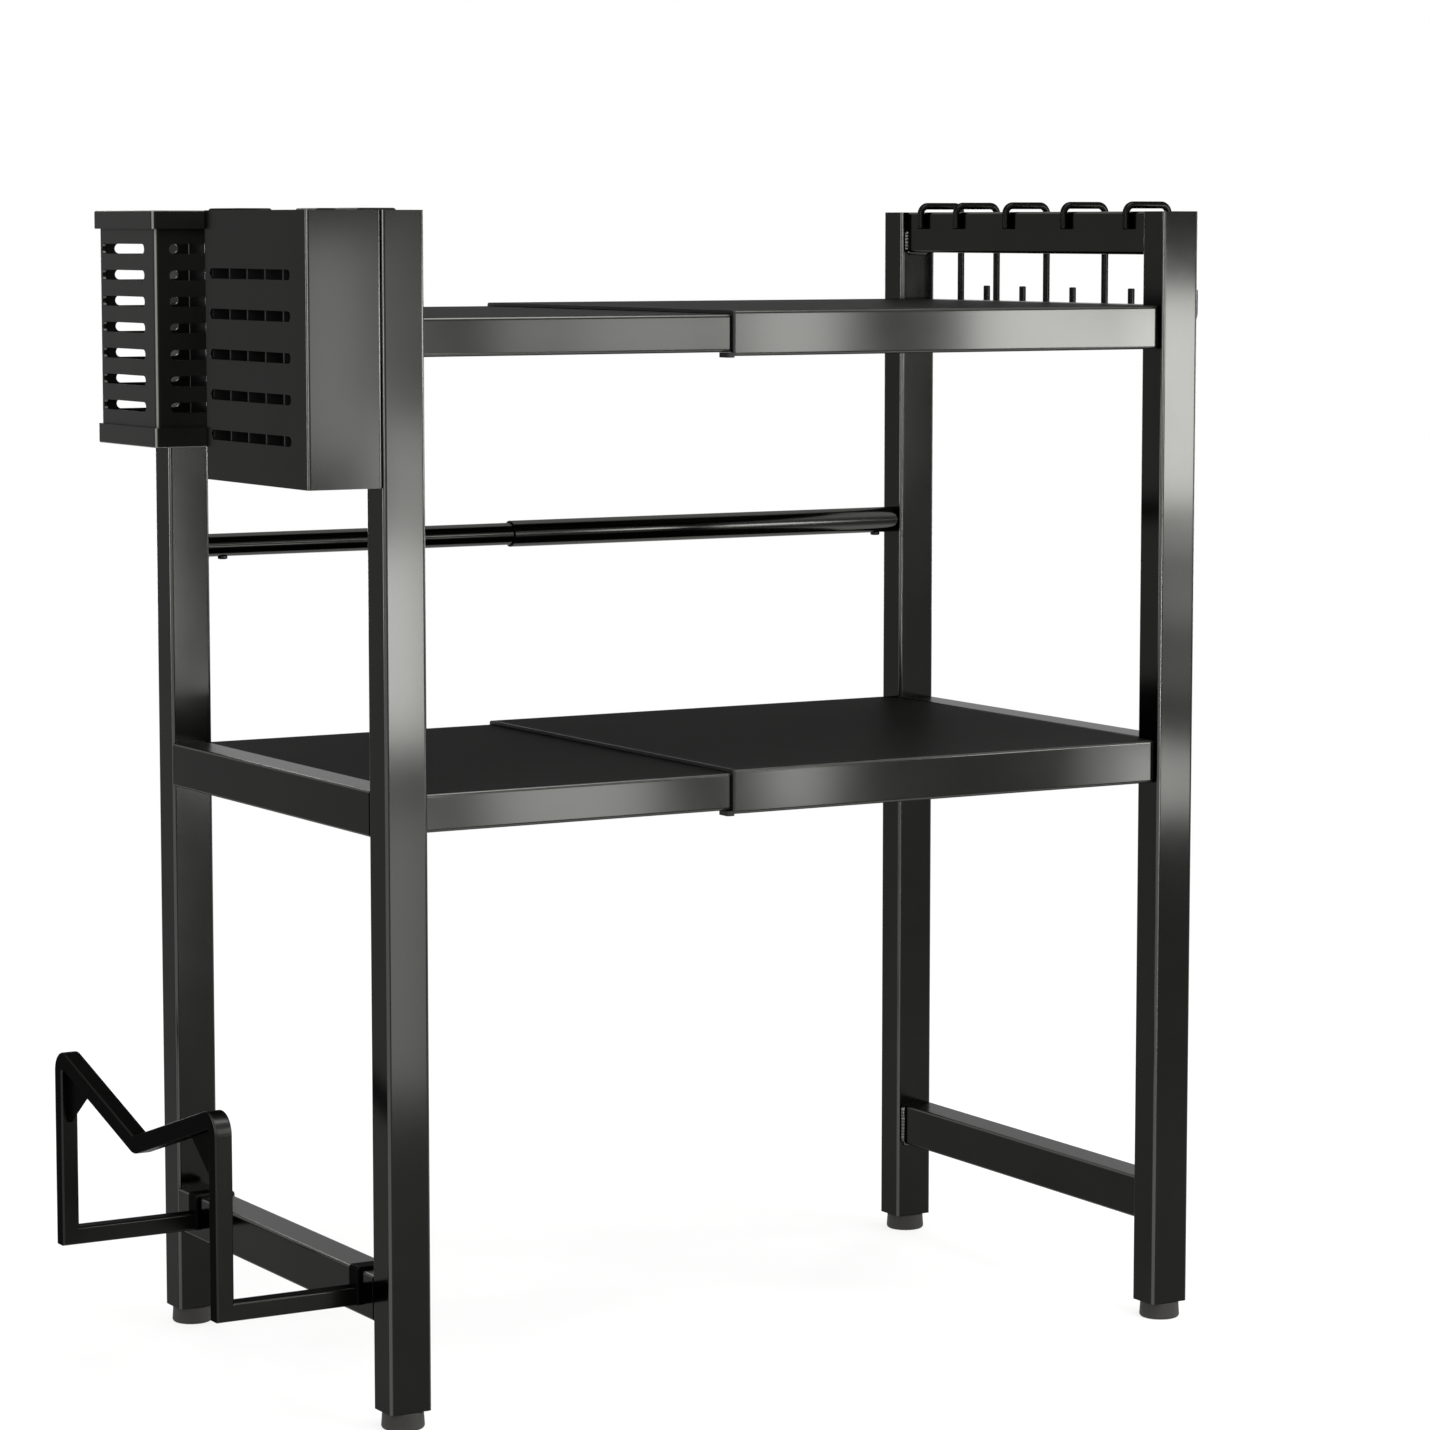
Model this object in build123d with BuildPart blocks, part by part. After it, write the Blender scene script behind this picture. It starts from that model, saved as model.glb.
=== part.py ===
from build123d import *
from math import radians, sin
import os

os.makedirs("parts", exist_ok=True)

# Extendable two-tier steel stand: two welded side frames, two telescoping shelves and a rear bar
# between them, with a knife block, a utensil caddy, a board holder and five wire hooks hung on it.
# Millimetres, +X to the right, +Y to the rear, +Z up, the floor at Z = 0.

# Driving dimensions of the stand
frame_width = 630.0          # over the legs' outer faces, shelves drawn out as photographed
frame_depth = 360.0
leg_length = 770.0
leg_width = 30.0             # along X
leg_depth = 25.0             # along Y
leg_wall = 1.2
leg_radius = 2.5
rail_width = 25.0            # along X, flush with the legs' outer faces
rail_height = 30.0
rail_wall = 1.0
rail_radius = 2.0
upper_shelf_drop = 65.0      # its top below the legs' tops
shelf_spacing = 303.0        # from the middle shelf's top to the upper shelf's
bottom_rail_top = 99.0

# Feet
foot_height = 12.0           # from the floor to the legs' lower ends, feet screwed home
foot_radius = 14.3
foot_taper = 4.0             # degrees, narrower at the top
foot_rounding = 2.2
foot_gap = 0.3               # between pad and leg, screwed home
stud_radius = 4.0
stud_seat = 4.0              # floor of the pad under the stud
stud_length = 30.0
insert_height = 20.0
plug_height = 12.0
plug_fit = 0.05              # between a plastic plug and the tube's bore
plug_wall = 2.5
thread_fit = 0.05            # radial clearance of a stud in its insert

# Shelves, folded from sheet
sheet = 1.2
bend_radius = 1.6            # at the middle of the sheet
shelf_height = 30.0          # outer half, over its folded edges
shelf_lip = 12.0             # width of the return under each edge
apron_setback = 5.5          # outer half's front face behind the legs' front faces
slide_gap = 1.3              # between the inner and the outer half
running_gap = 0.3            # between the inner half and the plastic guide
leg_gap = 0.5                # between a shelf's cut corners and the legs
split_place = 260.0          # mouth of the outer halves, from the left legs' outer faces
inner_reach = 365.0          # far end of the inner halves, from the same faces
guide_depth = 12.0           # of the guide inside the outer half
guide_lip = 1.6              # of the guide in front of the outer half's edge
guide_toe = 6.0              # of the guide's foot under the inner half's edge
guide_toe_drop = 1.0
stiffener_height = 12.0
stiffener_foot = 70.0        # overall width
stiffener_crown = 30.0
stiffener_spread = 90.0      # from the shelf's middle
stiffener_margin = 6.0

# Shelf fasteners
bolt_spread = 110.0          # from the shelf's middle
bolt_drop = 15.0             # below the shelf's top
bolt_radius = 2.5
bolt_length = 12.0
bolt_head_radius = 4.75
bolt_head_height = 2.7
bolt_socket = 3.0            # across flats
bolt_socket_depth = 1.6
bolt_hole_fit = 0.25         # around a bolt in its flange
bolt_thread_fit = 0.1        # around a bolt in its rivet nut
nut_wall = 0.9
nut_fit = 0.05               # around a rivet nut in the rail's wall
nut_flange_width = 1.5
nut_flange = 0.8
nut_length = 9.0

# Rear bar
rear_bar_rise = 136.0        # its middle above the middle shelf's top
thin_tube_radius = 8.0
rear_tube_wall = 1.2
rear_tube_gap = 0.3          # around the thin tube in the thick one
thin_tube_reach = 345.0      # far end, from the left legs' outer faces
thick_tube_margin = 12.0     # its end behind the outer halves' mouths
spigot_length = 28.0
spigot_fit = 0.1
set_screw_place = 15.0       # from the leg's inner face
set_screw_radius = 2.0
set_screw_head_radius = 3.5
set_screw_head_height = 2.0
set_screw_depth = 5.0        # below the tube's surface
set_screw_fit = 0.05

# Knife block
hang_gap = 0.2               # between a hanging tab and the rail that carries it
face_gap = 0.5               # between a hung box and the legs' outer faces
block_width = 52.0           # out from the legs' outer faces
block_depth = 155.0
block_height = 174.0
block_wall = 1.2
block_radius = 2.0
block_slot_rows = 5
block_slot_drop = 40.5       # first row below the block's top
block_slot_rise = 29.5       # last row above the block's base
block_slot_height = 6.6
block_slot_front = 24.0      # solid sheet before and behind the slots
block_slot_rear = 9.0
tab_width = 30.0
tab_spread = 30.0            # from the block's middle
tab_drop = 16.0              # down behind the rail
insert_fit = 0.2
insert_recess = 2.0          # the insert's top below the block's mouth
insert_plate = 4.0
insert_wall = 1.8
insert_end = 8.6             # from the insert's ends to its outermost cross walls' middles
knife_slots = 5
knife_slot_margin = 4.4      # from a slot's ends to the insert's sides
knife_slot_width = 5.0

# Utensil caddy
caddy_width = 70.0           # out from the legs' outer faces
caddy_depth = 93.0
caddy_height = 155.0
caddy_middle = 239.5         # from the legs' front faces
caddy_wall = 2.0
caddy_radius = 3.0
rim_height = 12.0
rim_proud = 3.0
rim_back = 1.5
rim_crown = 2.0              # rim above the body's edge
tray_height = 13.0
tray_proud = 2.0
tray_floor = 2.0
caddy_slot_rows = 7
caddy_slot_drop = 25.2       # first row below the rim's top
caddy_slot_rise = 26.0       # last row above the caddy's base
caddy_slot_height = 6.6
side_slot_front = 17.5       # solid wall before and behind the slots in the outer face
side_slot_rear = 5.0
end_slot_margin = 10.25      # beyond the slots in the front and rear faces
strap_width = 40.0
strap_thickness = 1.5
strap_length = 70.0          # down the caddy's back
rivet_radius = 2.0
rivet_head_radius = 3.6
rivet_head_height = 1.4
rivet_drops = (42.0, 58.0)   # below the rim's top

# Board holder
bar_size = 12.0              # square bar
bar_corner = 1.5
bar_bend = 8.5               # at the middle of the bar; the two lower corners are mitred
holder_reach = 101.0         # out from the legs' outer faces
holder_front_margin = 24.0   # from the rail's ends to the arms' middles
holder_rear_margin = 29.0
holder_drop = 23.0           # underside of the arms below the bottom rail's top
holder_peak_rise = 115.0     # top of the M above the bottom rail's top
holder_valley_rise = 63.0    # underside of the bar at the middle of the M, above the same
gusset_leg = 38.0            # along the bar, each way from an inner corner of the M
gusset_thickness = 3.0
clip_width = 12.0
clip_thickness = 2.0
clip_fit = 0.3
clip_drop = 18.0

# Wire hooks
wire_radius = 2.5
hook_fit = 0.3               # between the wire and the rail's inner face
hook_standoff = 6.0          # between the wire and the rail's outer face
hook_rise = 7.0              # top of the wire above the rail
hook_bend = 6.0
hook_back_drop = 12.5        # inner leg's end below the rail's top
hook_throw = 32.0            # tip's middle beyond the rail's outer face
hook_drop = 85.0             # lowest point below the rail's top
hook_tip_drop = 55.0         # tip's end below the rail's top
hook_rounding = 0.8
hook_margin = 23.0           # from the rail's ends to the first and the last hook
hook_shares = (0.0, 0.29, 0.57, 0.818, 1.0)         # of the run between those two

# Places worked out from the sizes above; X = 0 and Y = 0 are the middle of everything built
hook_reach = hook_throw + wire_radius
stand_top = foot_height + leg_length
left_face = (holder_reach - hook_reach - frame_width) / 2
right_face = left_face + frame_width
front_face = -frame_depth / 2
sides = {"left": (left_face, 1), "right": (right_face, -1)}      # outer face, way inwards
ends = {"front": (front_face, 1), "rear": (-front_face, -1)}
upper_shelf_top = stand_top - upper_shelf_drop
middle_shelf_top = upper_shelf_top - shelf_spacing
shelf_tops = {"upper": upper_shelf_top, "middle": middle_shelf_top}
rail_tops = {"top": stand_top, "upper": upper_shelf_top, "middle": middle_shelf_top,
             "bottom": bottom_rail_top}
rail_length = frame_depth - 2 * leg_depth
rail_front = front_face + leg_depth
rail_rear = rail_front + rail_length
bolt_places = (-bolt_spread, bolt_spread)
all_bolts = [(place, top - bolt_drop) for place in bolt_places for top in shelf_tops.values()]
nut_bore_radius = bolt_radius + bolt_thread_fit
nut_radius = nut_bore_radius + nut_wall
nut_flange_radius = nut_radius + nut_flange_width


def save(piece, name):
    piece.label = name
    export_step(piece, f"parts/{name}.step")


def tube_section(width, height, wall, radius):
    # hollow rectangle with rounded corners, added to the sketch that is open
    RectangleRounded(width, height, radius)
    RectangleRounded(width - 2 * wall, height - 2 * wall, radius - wall, mode=Mode.SUBTRACT)


def facing(x, y, z, way):
    # plane square to X, its sketch's x along Y and y along Z, seen from outside when way is 1
    return Plane(origin=(x, y, z), x_dir=(0, way, 0), z_dir=(way, 0, 0))


# Legs and what closes their ends
leg_bore = (leg_width - 2 * (leg_wall + plug_fit), leg_depth - 2 * (leg_wall + plug_fit))
bore_radius = leg_radius - leg_wall

for side, (face, inward) in sides.items():
    leg_middles = {}
    for end, (depth_face, way) in ends.items():
        leg_middles[end] = (face + inward * leg_width / 2, depth_face + way * leg_depth / 2)
        with BuildPart() as leg:
            with BuildSketch(Plane((*leg_middles[end], foot_height))):
                tube_section(leg_width, leg_depth, leg_wall, leg_radius)
            extrude(amount=leg_length)
        save(leg.part, f"leg_{end}_{side}")

    with BuildPart() as plugs:
        with BuildSketch(Plane.XY.offset(stand_top - plug_height)):
            with Locations(*leg_middles.values()):
                RectangleRounded(*leg_bore, bore_radius)
        extrude(amount=plug_height)
        with BuildSketch(Plane.XY.offset(stand_top - plug_height)):
            with Locations(*leg_middles.values()):
                RectangleRounded(leg_bore[0] - 2 * plug_wall, leg_bore[1] - 2 * plug_wall, bore_radius)
        extrude(amount=plug_height - plug_wall, mode=Mode.SUBTRACT)
    save(plugs.part, f"leg_plugs_{side}")

    with BuildPart() as inserts:
        with BuildSketch(Plane.XY.offset(foot_height)):
            with Locations(*leg_middles.values()):
                RectangleRounded(*leg_bore, bore_radius)
                Circle(stud_radius + thread_fit, mode=Mode.SUBTRACT)
        extrude(amount=insert_height)
    save(inserts.part, f"leg_inserts_{side}")

    # Levelling feet, one pad and one stud under each leg
    for end, middle in leg_middles.items():
        pad_height = foot_height - foot_gap
        with BuildPart() as pad:
            with BuildSketch(Plane((*middle, 0))):
                Circle(foot_radius)
            extrude(amount=pad_height, taper=foot_taper)
            fillet(pad.edges().group_by(Axis.Z)[0], foot_rounding)
            fillet(pad.edges().group_by(Axis.Z)[-1], foot_rounding / 3)
            with BuildSketch(Plane((*middle, stud_seat))):
                Circle(stud_radius)
            extrude(amount=foot_height, mode=Mode.SUBTRACT)
        save(pad.part, f"foot_pad_{end}_{side}")

        with BuildPart() as stud:
            with BuildSketch(Plane((*middle, stud_seat))):
                Circle(stud_radius)
            extrude(amount=stud_length)
            chamfer(stud.edges().group_by(Axis.Z)[-1], stud_radius / 5)
        save(stud.part, f"foot_stud_{end}_{side}")


# Side rails; the two that carry shelves are drilled in their inner walls for rivet nuts
for side, (face, inward) in sides.items():
    rail_middle = face + inward * rail_width / 2
    rail_inside = face + inward * rail_width
    for name, top in rail_tops.items():
        start = (rail_middle, rail_front, top - rail_height / 2)
        with BuildPart() as rail:
            with BuildSketch(Plane(origin=start, x_dir=(1, 0, 0), z_dir=(0, 1, 0))):
                tube_section(rail_width, rail_height, rail_wall, rail_radius)
            extrude(amount=rail_length)
            if name in shelf_tops:
                with BuildSketch(facing(rail_inside, 0, top - bolt_drop, inward)):
                    with Locations(*[(place, 0) for place in bolt_places]):
                        Circle(nut_radius + nut_fit)
                extrude(amount=-2 * rail_wall, mode=Mode.SUBTRACT)
        save(rail.part, f"rail_{name}_{side}")


# Rivet nuts in those walls, and the bolts that hold the shelves' end flanges against them
def at_bolts(x, way, shape_radius, hollow_radius=0.0):
    # one disc or ring at every bolt of a side frame, on a plane square to X
    with BuildSketch(facing(x, 0, 0, way)) as pattern:
        with Locations(*all_bolts):
            Circle(shape_radius)
            if hollow_radius:
                Circle(hollow_radius, mode=Mode.SUBTRACT)
    return pattern.sketch


for side, (face, inward) in sides.items():
    rail_inside = face + inward * rail_width
    flange_face = rail_inside + inward * nut_flange
    head_seat = flange_face + inward * sheet

    with BuildPart() as nuts:
        extrude(at_bolts(rail_inside, inward, nut_flange_radius, nut_bore_radius), amount=nut_flange)
        extrude(at_bolts(rail_inside, inward, nut_radius, nut_bore_radius), amount=-nut_length)
    save(nuts.part, f"rivet_nuts_{side}")

    with BuildPart() as bolts:
        extrude(at_bolts(head_seat, inward, bolt_head_radius), amount=bolt_head_height)
        head_edges = bolts.edges().filter_by(GeomType.CIRCLE).sort_by(Axis.X)
        fillet(head_edges[-4:] if inward > 0 else head_edges[:4], bolt_head_height / 2)
        extrude(at_bolts(head_seat, inward, bolt_radius), amount=-bolt_length)
        with BuildSketch(facing(head_seat + inward * bolt_head_height, 0, 0, inward)):
            with Locations(*all_bolts):
                RegularPolygon(bolt_socket / 2, 6, major_radius=False)
        extrude(amount=-bolt_socket_depth, mode=Mode.SUBTRACT)
    save(bolts.part, f"shelf_bolts_{side}")


# Shelf halves: folded channels, open underneath, with a tongue that reaches in between the legs
# to a flange against the rail
def channel_section(width, height, lip, thickness):
    half, low, high = width / 2 - thickness / 2, -height / 2 + thickness / 2, height / 2 - thickness / 2
    with BuildLine() as fold:
        FilletPolyline((-half + lip, low), (-half, low), (-half, high), (half, high), (half, low),
                       (half - lip, low), radius=bend_radius)
    trace(fold.line, line_width=thickness)


def tongue_section(face, inward, top, height):
    # side view of the flat tongue and the end flange of a shelf half
    flange_middle = face + inward * (rail_width + nut_flange + sheet / 2)
    with BuildSketch(Plane.XZ) as section:
        with BuildLine():
            FilletPolyline((face + inward * 2 * leg_width, top - sheet / 2), (flange_middle, top - sheet / 2),
                           (flange_middle, top - height), radius=bend_radius)
        trace(line_width=sheet)
    return section.sketch


def flange_holes(face, inward, top):
    # where the bolts pass through an end flange
    with BuildSketch(facing(face + inward * (rail_width + nut_flange), 0, top - bolt_drop, inward)) as holes:
        with Locations(*[(place, 0) for place in bolt_places]):
            Circle(bolt_radius + bolt_hole_fit)
    return holes.sketch


inner_step = sheet + slide_gap
outer_width = frame_depth - 2 * apron_setback
inner_width = outer_width - 2 * inner_step
inner_height = shelf_height - 2 * inner_step
mouth = left_face + split_place
inner_end = left_face + inner_reach
left_start = left_face + leg_width + leg_gap
right_end = right_face - leg_width - leg_gap
tongue_half = rail_length / 2 - leg_gap

for shelf, top in shelf_tops.items():
    middle_level = top - shelf_height / 2

    with BuildPart() as outer_half:
        with BuildSketch(facing(mouth, 0, middle_level, 1)):
            channel_section(outer_width, shelf_height, shelf_lip, sheet)
        extrude(amount=right_end - mouth)
        extrude(tongue_section(right_face, -1, top, shelf_height), amount=tongue_half, both=True)
        extrude(flange_holes(right_face, -1, top), amount=sheet, mode=Mode.SUBTRACT)
    save(outer_half.part, f"shelf_{shelf}_outer")

    with BuildPart() as inner_half:
        with BuildSketch(facing(left_start, 0, middle_level, 1)):
            channel_section(inner_width, inner_height, shelf_lip, sheet)
        extrude(amount=inner_end - left_start)
        extrude(tongue_section(left_face, 1, top - inner_step, inner_height), amount=tongue_half, both=True)
        extrude(flange_holes(left_face, 1, top), amount=sheet, mode=Mode.SUBTRACT)
    save(inner_half.part, f"shelf_{shelf}_inner")

    # Two folded stiffeners welded under the inner half
    panel_underside = top - inner_step - sheet
    with BuildPart() as stiffeners:
        with BuildSketch(facing(left_start + stiffener_margin, 0, panel_underside - sheet / 2, 1)):
            for place in (-stiffener_spread, stiffener_spread):
                foot, crown, low = stiffener_foot / 2, stiffener_crown / 2, sheet - stiffener_height
                knee = (foot + crown) / 2
                with BuildLine():
                    FilletPolyline((place - foot, 0), (place - knee, 0), (place - crown, low),
                                   (place + crown, low), (place + knee, 0), (place + foot, 0),
                                   radius=bend_radius)
                trace(line_width=sheet)
        extrude(amount=inner_end - left_start - 2 * stiffener_margin)
    save(stiffeners.part, f"shelf_{shelf}_stiffeners")

    # Plastic guide in the outer half's mouth: a sleeve inside, a lip over the sheet's edge, and a toe
    # that runs on under the inner half
    clear_width, clear_height = inner_width + 2 * running_gap, inner_height + 2 * running_gap
    with BuildPart() as guide:
        with BuildSketch(facing(mouth, 0, middle_level, 1)):
            RectangleRounded(outer_width - 2 * sheet, shelf_height - 2 * sheet, bend_radius - sheet / 2)
            RectangleRounded(clear_width, clear_height, bend_radius, mode=Mode.SUBTRACT)
            with Locations((0, -shelf_height / 2)):
                Rectangle(outer_width - 2 * shelf_lip, shelf_height / 2, mode=Mode.SUBTRACT)
        extrude(amount=guide_depth)
        with BuildSketch(facing(mouth - guide_lip, 0, middle_level, 1)):
            RectangleRounded(outer_width, shelf_height, bend_radius + sheet / 2)
            RectangleRounded(clear_width, clear_height, bend_radius, mode=Mode.SUBTRACT)
            with Locations((0, -shelf_height / 2)):
                Rectangle(outer_width - 2 * shelf_lip, shelf_height / 2, mode=Mode.SUBTRACT)
        extrude(amount=guide_lip)
        toe_top = top - shelf_height + (shelf_height - clear_height) / 2
        toe_bottom = top - shelf_height - guide_toe_drop
        toe_side = (outer_width - shelf_lip) / 2
        with BuildSketch(Plane.XY.offset(toe_bottom)):
            with Locations((mouth - guide_toe / 2, -toe_side), (mouth - guide_toe / 2, toe_side)):
                RectangleRounded(guide_toe, shelf_lip, guide_lip)
        extrude(amount=toe_top - toe_bottom)
    save(guide.part, f"shelf_{shelf}_guide")


# Rear bar: thin tube on the left, thick tube on the right, each on a spigot welded to its leg
bar_middle = -front_face - leg_depth / 2
rear_bar_height = middle_shelf_top + rear_bar_rise
thick_tube_radius = thin_tube_radius + rear_tube_gap + rear_tube_wall
rear_tubes = {"left": ("rear_tube_thin", thin_tube_radius, left_face + thin_tube_reach),
              "right": ("rear_tube_thick", thick_tube_radius, mouth + thick_tube_margin)}

for side, (face, inward) in sides.items():
    name, radius, far_end = rear_tubes[side]
    leg_inside = face + inward * leg_width
    bore = radius - rear_tube_wall
    screw_x = leg_inside + inward * set_screw_place
    below = Plane(origin=(screw_x, bar_middle, rear_bar_height - radius), z_dir=(0, 0, -1))

    with BuildPart() as rear_tube:
        with BuildSketch(facing(leg_inside, bar_middle, rear_bar_height, inward)):
            Circle(radius)
            Circle(bore, mode=Mode.SUBTRACT)
        extrude(amount=abs(far_end - leg_inside))
        with BuildSketch(below):
            Circle(set_screw_radius + set_screw_fit)
        extrude(amount=-radius, mode=Mode.SUBTRACT)
    save(rear_tube.part, name)

    with BuildPart() as spigot:
        with BuildSketch(facing(leg_inside, bar_middle, rear_bar_height, inward)):
            Circle(bore - spigot_fit)
        extrude(amount=spigot_length)
        with BuildSketch(below):
            Circle(set_screw_radius + set_screw_fit)
        extrude(amount=-set_screw_depth - set_screw_fit, mode=Mode.SUBTRACT)
    save(spigot.part, f"rear_spigot_{side}")

    with BuildPart() as set_screw:
        with BuildSketch(below):
            Circle(set_screw_radius)
        extrude(amount=-set_screw_depth)
        with BuildSketch(below):
            Circle(set_screw_head_radius)
        extrude(amount=set_screw_head_height)
        fillet(set_screw.edges().group_by(Axis.Z)[0], set_screw_head_height / 2)
    save(set_screw.part, f"rear_set_screw_{side}")


# Knife block: an open sheet box with rows of long slots, hung on the top rail by two bent tabs
block_back = left_face - face_gap
block_front_x = left_face - block_width
block_span = block_back - block_front_x
block_x = (block_back + block_front_x) / 2
block_y = front_face + block_depth / 2
block_base = stand_top - block_height
block_slot_length = block_depth - block_slot_front - block_slot_rear
block_slot_y = block_y + (block_slot_front - block_slot_rear) / 2
block_slot_pitch = (block_height - block_slot_drop - block_slot_rise) / (block_slot_rows - 1)
rail_inside = left_face + rail_width

with BuildPart() as block_shell:
    with BuildSketch(Plane((block_x, block_y, block_base))):
        RectangleRounded(block_span, block_depth, block_radius)
    extrude(amount=block_height)
    with BuildSketch(Plane((block_x, block_y, block_base + block_wall))):
        RectangleRounded(block_span - 2 * block_wall, block_depth - 2 * block_wall, block_radius - block_wall)
    extrude(amount=block_height, mode=Mode.SUBTRACT)
    with BuildSketch(facing(block_front_x, block_slot_y, stand_top - block_slot_drop, -1)):
        for row in range(block_slot_rows):
            with Locations((0, -row * block_slot_pitch)):
                SlotOverall(block_slot_length, block_slot_height)
    extrude(amount=-block_span, mode=Mode.SUBTRACT)
    tab_x = block_back - block_wall / 2
    tab_level = stand_top + hang_gap + block_wall / 2
    tab_end = rail_inside + hang_gap + block_wall / 2
    for place in (-tab_spread, tab_spread):
        with BuildSketch(Plane.XZ.offset(-(block_y + place))):
            with BuildLine():
                FilletPolyline((tab_x, stand_top - tab_drop), (tab_x, tab_level), (tab_end, tab_level),
                               (tab_end, stand_top - tab_drop), radius=bend_radius)
            trace(line_width=block_wall)
        extrude(amount=tab_width / 2, both=True)
save(block_shell.part, "knife_block_shell")

# Insert that stands in the block: a slotted top, cross walls between the blades and a base
insert_x_size = block_span - 2 * (block_wall + insert_fit)
insert_y_size = block_depth - 2 * (block_wall + insert_fit)
insert_low = block_base + block_wall
insert_top = stand_top - insert_recess
knife_slot_length = insert_x_size - 2 * knife_slot_margin
knife_slot_pitch = (insert_y_size - 2 * insert_end) / knife_slots
with BuildPart() as block_insert:
    for low, thickness in ((insert_low, insert_plate), (insert_top - insert_plate, insert_plate)):
        with BuildSketch(Plane((block_x, block_y, low))):
            RectangleRounded(insert_x_size, insert_y_size, block_radius - block_wall)
        extrude(amount=thickness)
    with BuildSketch(Plane((block_x, block_y, insert_low))):
        with GridLocations(0, knife_slot_pitch, 1, knife_slots + 1):
            Rectangle(insert_x_size, insert_wall)
    extrude(amount=insert_top - insert_low)
    with BuildSketch(Plane((block_x, block_y, insert_low + insert_plate))):
        with GridLocations(0, knife_slot_pitch, 1, knife_slots):
            SlotOverall(knife_slot_length, knife_slot_width)
    extrude(amount=block_height, mode=Mode.SUBTRACT)
save(block_insert.part, "knife_block_insert")


# Utensil caddy: slotted body between a rim and a drip tray, riveted to a strap over the top rail
strap_outside = left_face - face_gap - strap_thickness
body_back = strap_outside - rim_back
body_front = left_face - caddy_width
body_x = (body_back + body_front) / 2
body_span = body_back - body_front
body_y = front_face + caddy_middle
caddy_base = stand_top - caddy_height
body_low = caddy_base + tray_floor
body_top = stand_top - rim_crown
caddy_slot_length = caddy_depth - side_slot_front - side_slot_rear
caddy_slot_y = body_y + (side_slot_front - side_slot_rear) / 2
caddy_slot_pitch = (caddy_height - caddy_slot_drop - caddy_slot_rise) / (caddy_slot_rows - 1)
slot_levels = [stand_top - caddy_slot_drop - row * caddy_slot_pitch for row in range(caddy_slot_rows)]

with BuildPart() as caddy_body:
    with BuildSketch(Plane((body_x, body_y, body_low))):
        RectangleRounded(body_span, caddy_depth, caddy_radius)
    extrude(amount=body_top - body_low)
    with BuildSketch(Plane((body_x, body_y, body_low + caddy_wall))):
        RectangleRounded(body_span - 2 * caddy_wall, caddy_depth - 2 * caddy_wall, caddy_radius - caddy_wall)
    extrude(amount=caddy_height, mode=Mode.SUBTRACT)
    with BuildSketch(facing(body_front, caddy_slot_y, 0, -1)):
        for level in slot_levels:
            with Locations((0, level)):
                SlotOverall(caddy_slot_length, caddy_slot_height)
    extrude(amount=-body_span / 2, mode=Mode.SUBTRACT)
    with BuildSketch(Plane.XZ.offset(-body_y)):
        for level in slot_levels:
            with Locations((body_x, level)):
                SlotOverall(body_span - 2 * end_slot_margin, caddy_slot_height)
    extrude(amount=caddy_depth, both=True, mode=Mode.SUBTRACT)
    with BuildSketch(facing(body_back, body_y, stand_top, 1)):
        with Locations(*[(0, -drop) for drop in rivet_drops]):
            Circle(rivet_radius)
    extrude(amount=-2 * caddy_wall, mode=Mode.SUBTRACT)
save(caddy_body.part, "caddy_body")

# The rim and the tray stand proud on three sides and end flush with the strap's outer face
rim_x = (body_front - rim_proud + strap_outside) / 2
rim_span = strap_outside - (body_front - rim_proud)
with BuildPart() as caddy_rim:
    with BuildSketch(Plane((rim_x, body_y, stand_top - rim_height))):
        RectangleRounded(rim_span, caddy_depth + 2 * rim_proud, caddy_radius)
    extrude(amount=rim_height)
    fillet(caddy_rim.edges().group_by(Axis.Z)[-1], rim_crown / 2)
    with BuildSketch(Plane((body_x, body_y, stand_top - rim_height))):
        RectangleRounded(body_span, caddy_depth, caddy_radius)
    extrude(amount=rim_height - rim_crown, mode=Mode.SUBTRACT)
    with BuildSketch(Plane((body_x, body_y, stand_top - rim_height))):
        RectangleRounded(body_span - 2 * caddy_wall, caddy_depth - 2 * caddy_wall, caddy_radius - caddy_wall)
    extrude(amount=rim_height, mode=Mode.SUBTRACT)
save(caddy_rim.part, "caddy_rim")

tray_x = (body_front - tray_proud + strap_outside) / 2
tray_span = strap_outside - (body_front - tray_proud)
with BuildPart() as caddy_tray:
    with BuildSketch(Plane((tray_x, body_y, caddy_base))):
        RectangleRounded(tray_span, caddy_depth + 2 * tray_proud, caddy_radius)
    extrude(amount=tray_height)
    fillet(caddy_tray.edges().group_by(Axis.Z)[0], tray_floor / 2)
    with BuildSketch(Plane((body_x, body_y, body_low))):
        RectangleRounded(body_span, caddy_depth, caddy_radius)
    extrude(amount=tray_height, mode=Mode.SUBTRACT)
save(caddy_tray.part, "caddy_drip_tray")

strap_x = strap_outside + strap_thickness / 2
strap_level = stand_top + hang_gap + strap_thickness / 2
strap_inside = rail_inside + hang_gap + strap_thickness / 2
with BuildPart() as caddy_strap:
    with BuildSketch(Plane.XZ.offset(-body_y)):
        with BuildLine():
            FilletPolyline((strap_x, stand_top - strap_length), (strap_x, strap_level),
                           (strap_inside, strap_level), (strap_inside, stand_top - tab_drop),
                           radius=bend_radius)
        trace(line_width=strap_thickness)
    extrude(amount=strap_width / 2, both=True)
    with BuildSketch(facing(strap_outside, body_y, stand_top, -1)):
        with Locations(*[(0, -drop) for drop in rivet_drops]):
            Circle(rivet_radius)
    extrude(amount=-strap_thickness, mode=Mode.SUBTRACT)
save(caddy_strap.part, "caddy_strap")

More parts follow.
